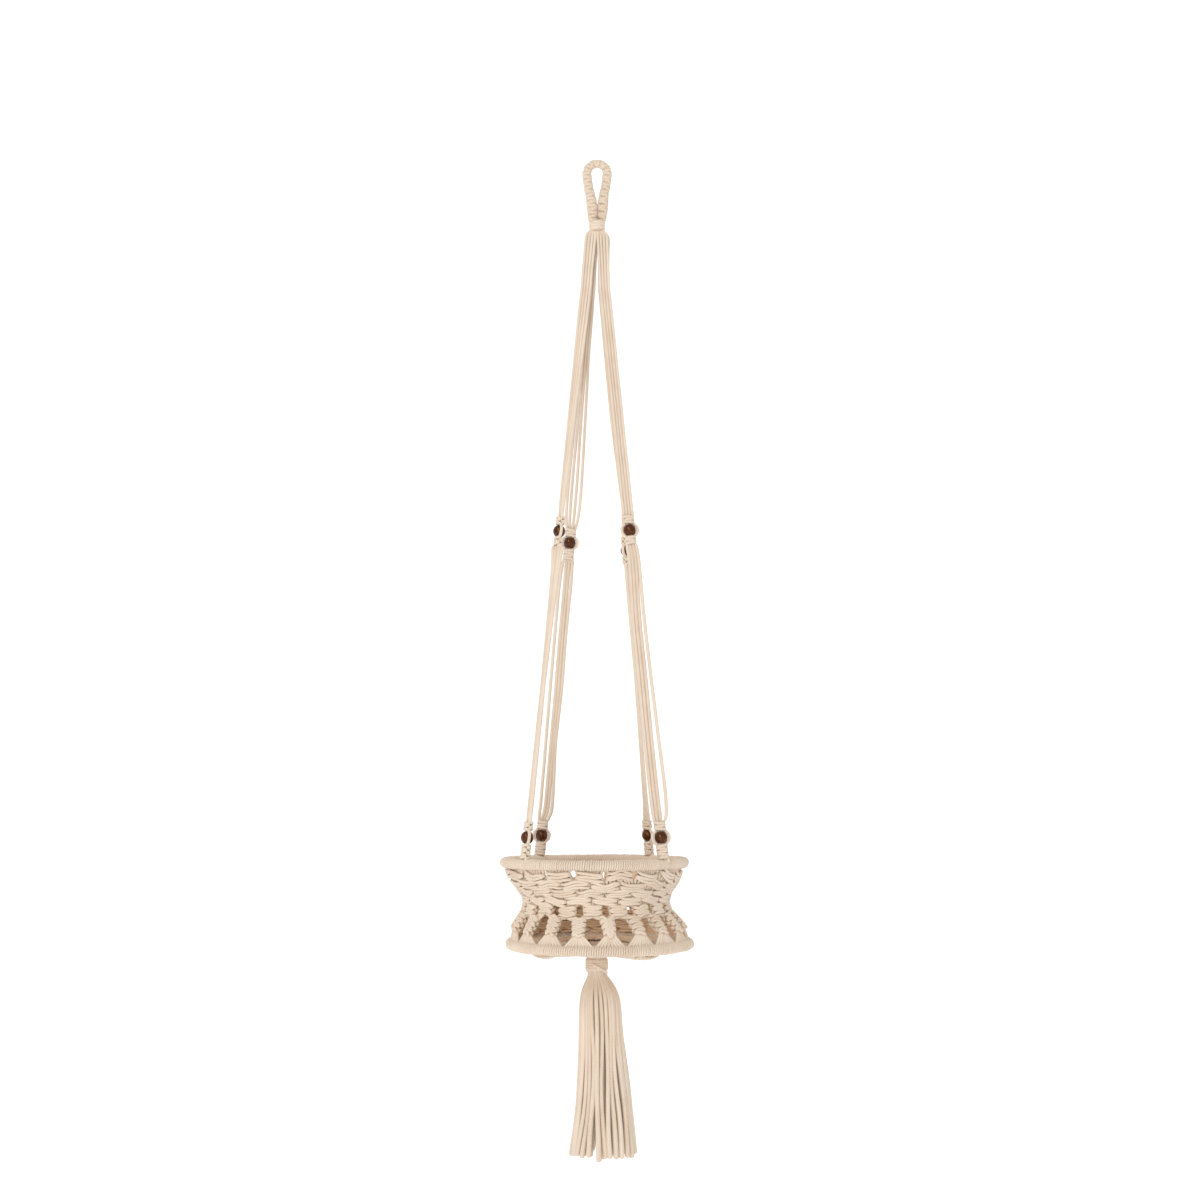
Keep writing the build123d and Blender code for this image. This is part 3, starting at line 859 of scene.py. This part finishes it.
# Rows of knots down the slope: start, half knots, their pitch, which columns (0 over the openings, 1 over
# the bars between them), the share of the column's width taken at the row's top and foot, and where the
# row is worked.
ROWS = [
    ("net_upper", 4.2, 3, 3.3, 0, 0.88, 0.96, "front"),
    ("net_upper", 14.2, 3, 3.3, 1, 1.04, 1.04, "all"),
    ("net_upper", 24.1, 3, 3.3, 0, 1.05, 1.05, "all"),
    ("net_waist", 33.9, 3, 3.3, 1, 1.05, 1.03, "all"),
    ("net_waist", 44.0, 4, 3.2, 0, 0.82, 0.76, "open"),
    ("net_lower", 58.6, 7, 3.15, 1, 0.60, 0.42, "open"),
    ("net_waist", 43.9, 3, 3.3, 0, 1.06, 1.06, "closed"),
    ("net_lower", 53.9, 3, 3.3, 1, 1.06, 1.06, "closed"),
    ("net_lower", 63.9, 3, 3.3, 0, 1.06, 1.06, "closed"),
    ("net_lower", 73.9, 3, 3.3, 1, 1.05, 1.05, "closed"),
    ("net_lower", 83.8, 2, 3.3, 0, 1.05, 1.05, "closed"),
]


def even_azimuth(place):
    """Where the strand in this place lies, with all strands evenly round the net."""
    return WINDOW_PHASE + (place - (GROUP - 1) / 2) * 360 / STRANDS


def is_open(azimuth):
    return OPEN_FROM < (azimuth + 180) % 360 - 180 < OPEN_TO


def worked_here(where, columns, azimuth):
    if where == "all":
        return True
    if where == "front":
        return abs((azimuth + 180) % 360 - 180) < 105
    step = 360 / COLUMNS
    # A bar stands wherever there is an opening on either side of it.
    beside = is_open(azimuth) if columns == 0 else is_open(azimuth - step / 2) or is_open(azimuth + step / 2)
    return beside == (where == "open")


def knotted_paths(surface, rows, first_piece, top_out=0.0):
    """Each strand's (azimuth, slope length, out) points with the piece they lie in, and the strands by place."""
    slots = list(range(STRANDS))  # slots[i] is the strand in place i round the net
    busy_until = np.zeros(STRANDS)
    step = 360 / COLUMNS
    paths = {strand: [] for strand in slots}
    for place, strand in enumerate(slots):
        azimuth = even_azimuth(place)
        paths[strand].append((first_piece, np.array([[azimuth, 0.0, top_out], [azimuth, 1.6, 0.0]])))
    for piece, start, count, pitch, columns, share, foot_share, where in rows:
        new_slots = list(slots)
        for group in range(COLUMNS):
            azimuth = WINDOW_PHASE + step * group + (step / 2 if columns else 0)
            if not worked_here(where, columns, azimuth):
                continue
            first = GROUP * group + (GROUP // 2 if columns else 0)
            places = [(first + k) % STRANDS for k in range(GROUP)]
            places = [p for p in places if busy_until[slots[p]] < start + 1]
            if len(places) < 3:
                continue
            members = [slots[p] for p in places]
            loose = 0.3 if where == "closed" else 1.0
            azimuth += RANDOM.normal(0, 0.3 * loose)
            down = start + RANDOM.normal(0, 0.6 * loose)
            per_mm = 180 / (pi * surface.radius(down + count * pitch / 2))
            at_back = where == "all" and start < 20 and not worked_here("front", columns, azimuth)
            ear = (0.68 if at_back else share) * step / per_mm / 2 - CORD_R
            foot_ear = ear + (foot_share - share) * step / per_mm / 2
            tilt, bend = RANDOM.normal(0, 0.11 * loose), RANDOM.normal(0, 1.5 * loose)
            lift = 2 * CORD_R * RANDOM.uniform(0.9, 1.1)
            last = len(members) - 1
            for k, strand in enumerate(members):
                if k in (0, last):
                    here = 1 if k else -1
                    local = half_knots(count, pitch, here, -here, ear=ear, lift=lift, samples=12)
                    height = RANDOM.normal(0, 1.1 * loose)
                    wave = height * np.sin(2 * pi * local[:, 0] / (1.6 * ear) + RANDOM.uniform(0, 6))
                    local[:, 2] += wave * np.abs(np.sin(pi * np.arange(len(local)) / 12))
                else:
                    u = (k / last - 0.5) * 2 * (ear - 1.6)
                    local = np.column_stack([np.full(5, u), np.zeros(5), np.linspace(0.4, count * pitch - 0.4, 5)])
                local[:, 0] *= 1 + (foot_ear / ear - 1) * np.clip(local[:, 2] / (count * pitch), 0, 1)
                local[:, 2] += tilt * local[:, 0] + (bend * (1 - (local[:, 0] / ear) ** 2) if share > 0.7 else 0)
                points = np.column_stack([azimuth + local[:, 0] * per_mm, down + local[:, 2], local[:, 1]])
                paths[strand].append((piece, points))
                busy_until[strand] = down + count * pitch
            if count % 2:
                new_slots[places[0]], new_slots[places[-1]] = members[-1], members[0]
        slots = new_slots
    return paths, slots


def unwrap(stretches):
    """Keeps each strand's azimuth continuous where the columns pass the full turn."""
    last, result = None, []
    for name, points in stretches:
        points = points.copy()
        if last is not None:
            points[:, 0] += 360 * round((last - points[0, 0]) / 360)
        last = points[-1, 0]
        result.append((name, points))
    return result


def place_strands(surface, paths):
    """Cords through the named pieces, from paths on a net's surface."""
    batches = {}
    for stretches in paths.values():
        merged = []
        for piece, points in unwrap(stretches):
            placed = surface.place(points[:, 0], points[:, 1], points[:, 2])
            if merged and merged[-1][0] == piece:
                merged[-1] = (piece, np.vstack([merged[-1][1], placed]))
            else:
                merged.append((piece, placed))
        add_split_cord(batches, merged, sides=10)
    return batches


def make_net():
    paths, slots = knotted_paths(NET, ROWS, "net_upper", top_out=-0.5)
    end = NET.at[-1]
    for place, strand in enumerate(slots):
        azimuth = even_azimuth(place)
        paths[strand].append(("net_lower", np.array([[azimuth, end - 1.5, 0.0], [azimuth, end, -0.5]])))
    fold = ("cradle", "lower_hoop", (0, 0, TOP_HOOP.bottom), (0, 0, BOTTOM_HOOP.top))
    for name, batch in place_strands(NET, paths).items():
        finish_piece(batch.build(name + "_knots", NET_COTTON_PAINTED_SHADE), nodes=(name,), blend=fold)


# ---------------------------------------------------------------- bottom net and neck
NECK_MIDDLE, NECK_SIZE = centre_and_size("neck_wrap")
NECK_TOP = NECK_MIDDLE[2] + NECK_SIZE[2] / 2
NECK_BOTTOM = NECK_MIDDLE[2] - NECK_SIZE[2] / 2
NECK_R = NECK_SIZE[0] / 2


def floor_sag(azimuth, radius):
    """The floor hangs a little below the ring on either side of the front."""
    a = (np.asarray(azimuth) + 180) % 360 - 180
    slack = 4.4 * np.exp(-((a + 44) / 15) ** 2) + 5.2 * np.exp(-((a - 34) / 17) ** 2)
    slack = slack + 3.0 * np.exp(-((np.abs(a) - 150) / 25) ** 2)
    return slack * np.exp(-((radius - 84) / 13) ** 2)


FLOOR_OUTLINE = [(-907.5, 97.6, 3.1), (-908.8, 93.0, 3.1), (-909.0, 78.0, 2.6), (-909.4, 55.0, 1.8),
                 (-910.4, 36.0, 1.0), (-912.4, 25.0, 0.4), (-915.6, 16.0, 0.0), (-920.5, 10.0, 0.0),
                 (-925.0, 7.8, 0.0), (-931.0, 7.4, 0.0)]
FLOOR = Surface(FLOOR_OUTLINE, sag=floor_sag)
GATHER_Z = -914.6  # the blend height passed for the gathered cords, which finish_piece only bakes in place
GATHER_LAYERS = (0.9, -0.9, -2.7)  # the gathered cords lie in three layers, this far out of the surface
FLOOR_ROWS = [("bottom_net", 6.5 + 9.9 * k, 3, 3.2, k % 2, 0.97, 0.93, "all") for k in range(5)]


def make_bottom_net():
    """The floor: rows of knots in from the lower hoop, then half of the cords run on to the neck."""
    paths, slots = knotted_paths(FLOOR, FLOOR_ROWS, "bottom_net")
    gather = float(np.interp(-25.0, -FLOOR.r, FLOOR.at))
    end = FLOOR.at[-1]
    for place, strand in enumerate(slots):
        azimuth = even_azimuth(place)
        if place % 2:
            paths[strand].append(("bottom_net", np.array([[azimuth, 58.0, -1.5], [azimuth, 62.0, -2.2]])))
            continue
        layer = GATHER_LAYERS[(place // 2) % 3]
        inward = [[azimuth, 60.0, 0.0], [azimuth, gather - 3, layer * 0.8], [azimuth, gather, layer]]
        down = [[azimuth, s, layer] for s in np.linspace(gather + 3, end, 7)]
        paths[strand].append(("bottom_net", np.array(inward)))
        paths[strand].append(("bottom_net_gather", np.array(down)))
    for name, batch in place_strands(FLOOR, paths).items():
        obj = batch.build(name + "_cords", NET_COTTON_PAINTED_SHADE)
        if name == "bottom_net":
            finish_piece(obj, body="lower_hoop", nodes=("bottom_net",))
        else:
            bend = ("lower_hoop", "neck", (0, 0, GATHER_Z), (0, 0, NECK_TOP))
            finish_piece(obj, nodes=("bottom_net",), blend=bend)


def make_neck():
    wrap = Batch()
    wound_band(wrap, NECK_R - 2.6, NECK_TOP + 0.6, NECK_BOTTOM - 0.6, 4.3, 2.7, lean=0.6, start=1.0)
    a = np.linspace(-0.4, 1.1, 12)
    slant = np.column_stack([(NECK_R + 0.3) * np.sin(a), -(NECK_R + 0.3) * np.cos(a),
                             np.linspace(NECK_MIDDLE[2] + 2, NECK_BOTTOM - 1.0, 12)])
    add_cord(wrap, slant, taper=(2, 2), closed_ends=(True, True))
    finish_piece(wrap.build("neck_wrap_turns", COTTON), body="neck", nodes=("neck_wrap", "neck_core"))


# ---------------------------------------------------------------- tassel
def spline_points(points, resolution=10):
    """Points read from a NURBS spline with these control points, in millimetres."""
    curve = bpy.data.curves.new("route", "CURVE")
    curve.dimensions = "3D"
    spline = curve.splines.new("NURBS")
    spline.points.add(len(points) - 1)
    for point, place in zip(spline.points, points):
        point.co = (*place, 1)
    spline.order_u = 3
    spline.use_endpoint_u = True
    spline.resolution_u = resolution
    holder = bpy.data.objects.new("route", curve)
    mesh = bpy.data.meshes.new_from_object(holder)
    found = np.array([v.co for v in mesh.vertices])
    bpy.data.objects.remove(holder)
    bpy.data.curves.remove(curve)
    bpy.data.meshes.remove(mesh)
    return found


TASSEL_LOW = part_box("tassel")[0][2] / MM
# The tassel's shape: drop below the neck, half width, and how far it leans to the right.
TASSEL_SHAPE = [(0, 9.5, 0.6), (7, 12.4, 1.4), (14, 18.2, 2.6), (29, 22.9, 3.8), (52, 23.7, 4.2), (96, 26.3, 6.4),
                (141, 30.3, 8.2), (170, 33.6, 7.6), (195, 36.6, 6.6)]
LAYERS = ((30, 1.0, 1.0), (10, 0.66, 1.75))  # number of strands, share of the half width, and their thickness


def make_tassel():
    drop, width, lean_by_drop = zip(*TASSEL_SHAPE)
    bend = ("neck", "tassel", (0, 0, NECK_BOTTOM + 1), (0, 0, NECK_BOTTOM - 20))
    number = 0
    for count, share, thickness in LAYERS:
        for k in range(count):
            a = 2 * pi * k / count + RANDOM.uniform(-0.05, 0.05)
            end = NECK_BOTTOM - TASSEL_LOW - RANDOM.uniform(0.5, 4.5)
            own, depth = RANDOM.uniform(0, 2 * pi), RANDOM.normal(0, 0.7)
            controls = []
            for t in (-0.05, 0.0, 0.04, 0.09, 0.16, 0.30, 0.45, 0.60, 0.75, 0.90, 1.0):
                d = t * end
                r = share * (np.interp(max(d, 0), drop, width) - TASSEL_CORD_R)
                if d <= 0:
                    r = share * 7.2
                # Neighbouring strands drift together, and each a little on its own.
                loose = min(1, 4 * max(t, 0))
                b = a + loose * (0.05 * sin(2 * a + 6.5 * t) + 0.05 * sin(5 * a - 5.0 * t + 1.0)
                                 + 0.04 * sin(own + 9 * t))
                r += loose * (depth + 0.8 * sin(3 * a + 5 * t) + 0.8 * sin(own + 7 * t))
                lean = np.interp(max(d, 0), drop, lean_by_drop) if d > 0 else 0.0
                controls.append((r * sin(b) + lean, -0.92 * r * cos(b), NECK_BOTTOM - d))
            line = spline_points(controls)
            batch = Batch()
            size = TASSEL_CORD_R * thickness * RANDOM.uniform(0.94, 1.06)
            swelling = [size * 0.85, size, size * 1.03, size * 1.12, size * 1.32]
            add_cord(batch, line, radius=swelling, step=1.5, closed_ends=(False, True), taper=(0, 1.6))
            number += 1
            obj = batch.build(f"tassel_strand_{number:02d}", COTTON)
            finish_piece(obj, nodes=("tassel",), blend=bend)


# ---------------------------------------------------------------- making everything
make_tassel()
make_loop()
make_collar()
make_legs()
for leg in SIDES:
    for kind in ("mid", "rim"):
        make_bead(f"{kind}_bead_{leg}", f"{kind}_bead_{leg}")
make_hoop_wrap(TOP_HOOP, "top_hoop_wrap", "cradle")
make_hoop_wrap(BOTTOM_HOOP, "bottom_hoop_wrap", "lower_hoop")
make_net()
make_bottom_net()
make_neck()
for node_name in ("top_hoop", "bottom_hoop"):
    for slot_number in range(len(frame["nodes"][node_name].material_slots)):
        frame["nodes"][node_name].material_slots[slot_number].material = STEEL
